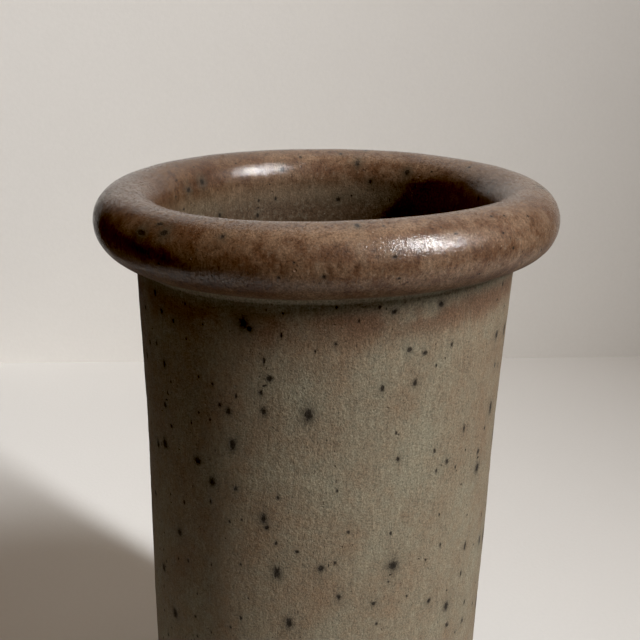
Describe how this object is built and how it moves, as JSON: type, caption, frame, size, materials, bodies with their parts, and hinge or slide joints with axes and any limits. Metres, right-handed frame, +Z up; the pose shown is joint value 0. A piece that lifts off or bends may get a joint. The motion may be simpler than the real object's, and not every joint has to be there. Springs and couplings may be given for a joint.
{
  "type": "stoneware vase",
  "caption": "Tall cylindrical stoneware vase with a thick rolled rim, speckled brown-olive glaze, straight open interior and a bare turned foot ring.",
  "frame": {"origin": "centre of the foot ring's resting face", "axes": "+Z up along the vase's axis of revolution, mouth upwards; X and Y are interchangeable"},
  "size_m": [0.1208, 0.1208, 0.188],
  "materials": {
    "stoneware_clay": "matte",
    "glaze_outer": "satin",
    "glaze_rim": "satin",
    "glaze_liner": "satin"
  },
  "bodies": {
    "root": {"foot_ring": "stoneware_clay", "floor_disc": "stoneware_clay", "body_wall": "stoneware_clay", "rolled_rim": "stoneware_clay", "wall_glaze": "glaze_outer", "rim_glaze": "glaze_rim", "liner_glaze": "glaze_liner"}
  },
  "joints": []
}
